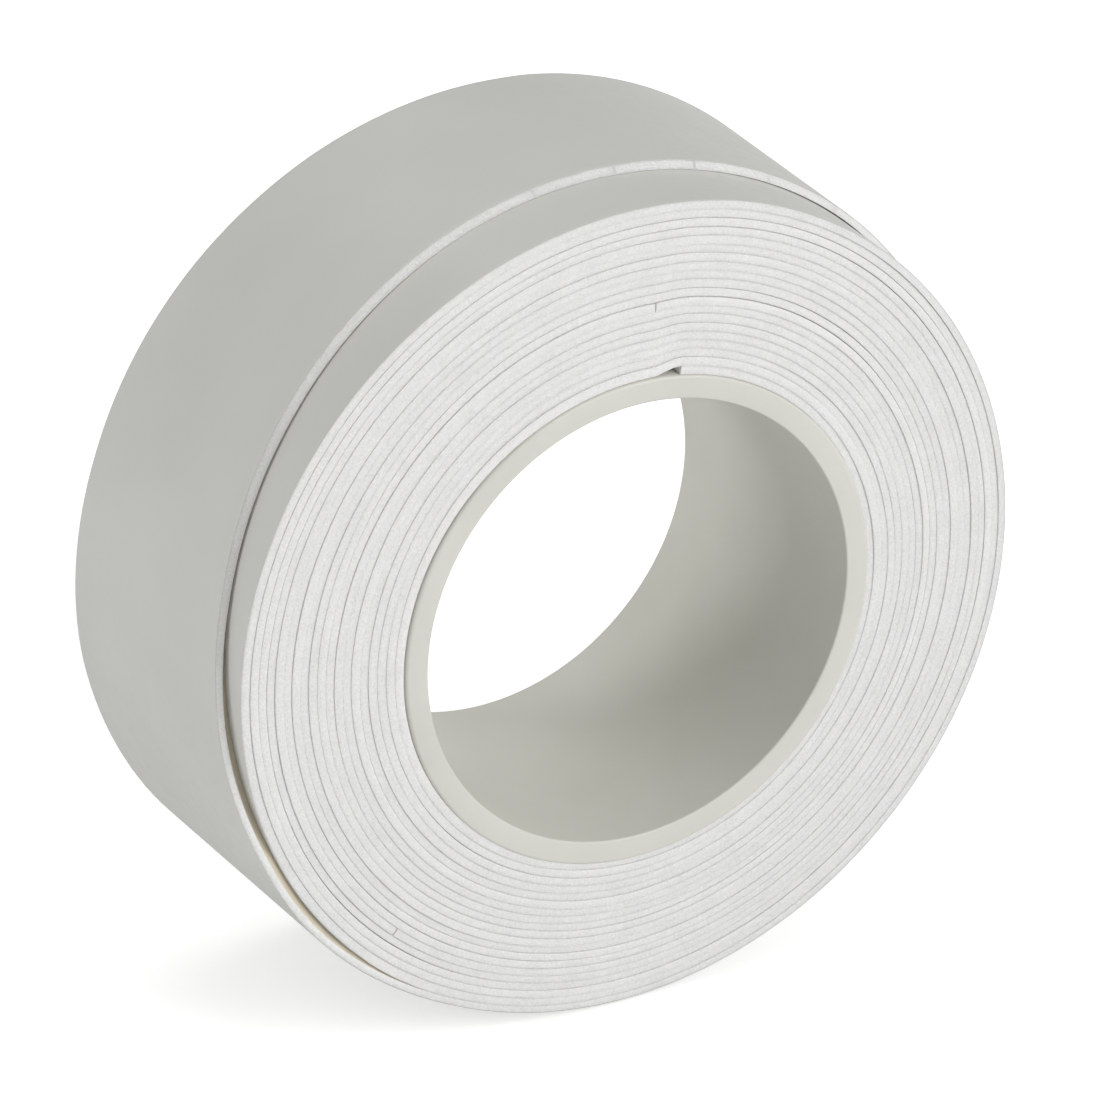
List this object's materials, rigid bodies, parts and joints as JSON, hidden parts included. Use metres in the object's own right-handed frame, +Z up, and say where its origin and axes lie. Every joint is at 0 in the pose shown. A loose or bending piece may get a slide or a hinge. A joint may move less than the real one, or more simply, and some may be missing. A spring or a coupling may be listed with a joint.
{
  "type": "grip tape roll",
  "caption": "Roll of white cushioned racket overgrip wound on a plastic core, with film-faced foam strips and a tapered free end that peels open.",
  "frame": {"origin": "centre of the core's bore at the middle of its length", "axes": "+Y along the bore axis, from the face with the tapered edge to the far face; +Z up; +X to the right seen from the face with the tapered edge"},
  "size_m": [0.0683, 0.025, 0.0685],
  "materials": {
    "core_plastic": "satin moulded",
    "foam": "fine open-cell cut edge",
    "film": "satin film",
    "tape": "matte",
    "liner": "paper"
  },
  "bodies": {
    "roll": {"core": "core_plastic", "grip_strip_1": "foam", "release_film_1": "film", "grip_strip_2": "foam", "release_film_2": "film", "grip_strip_3": "foam", "release_film_3": "film", "starter_tape_1": "tape", "starter_liner_1": "liner", "starter_tape_2": "tape", "starter_liner_2": "liner"},
    "tail_1": {"tail_foam_1": "foam", "tail_film_1": "film"},
    "tail_2": {"tail_foam_2": "foam", "tail_film_2": "film"},
    "tail_3": {"tail_foam_3": "foam", "tail_film_3": "film"},
    "tail_4": {"tail_foam_4": "foam", "tail_film_4": "film"},
    "tail_5": {"tail_foam_5": "foam", "tail_film_5": "film", "tail_tape_5": "tape", "tail_liner_5": "liner"},
    "tail_6": {"tail_foam_6": "foam", "tail_film_6": "film", "tail_tape_6": "tape", "tail_liner_6": "liner"}
  },
  "joints": [
    {"name": "tail_peel_1", "type": "hinge", "parent": "roll", "child": "tail_1", "pos_m": [-0.00211, 0, 0.03576], "axis": [0, -1, 0], "range_deg": [0, 12]},
    {"name": "tail_peel_2", "type": "hinge", "parent": "tail_1", "child": "tail_2", "pos_m": [0.00512, 0, 0.03526], "axis": [0, -1, 0], "range_deg": [0, 12]},
    {"name": "tail_peel_3", "type": "hinge", "parent": "tail_2", "child": "tail_3", "pos_m": [0.01208, 0, 0.03326], "axis": [0, -1, 0], "range_deg": [0, 12]},
    {"name": "tail_peel_4", "type": "hinge", "parent": "tail_3", "child": "tail_4", "pos_m": [0.01847, 0, 0.02986], "axis": [0, -1, 0], "range_deg": [0, 12]},
    {"name": "tail_peel_5", "type": "hinge", "parent": "tail_4", "child": "tail_5", "pos_m": [0.02402, 0, 0.02521], "axis": [0, -1, 0], "range_deg": [0, 12]},
    {"name": "tail_peel_6", "type": "hinge", "parent": "tail_5", "child": "tail_6", "pos_m": [0.02847, 0, 0.0195], "axis": [0, -1, 0], "range_deg": [0, 12]}
  ],
  "couplings": [
    {"joint": "tail_peel_2", "follows": "tail_peel_1", "ratio": 1},
    {"joint": "tail_peel_3", "follows": "tail_peel_1", "ratio": 1},
    {"joint": "tail_peel_4", "follows": "tail_peel_1", "ratio": 1},
    {"joint": "tail_peel_5", "follows": "tail_peel_1", "ratio": 1},
    {"joint": "tail_peel_6", "follows": "tail_peel_1", "ratio": 1}
  ]
}
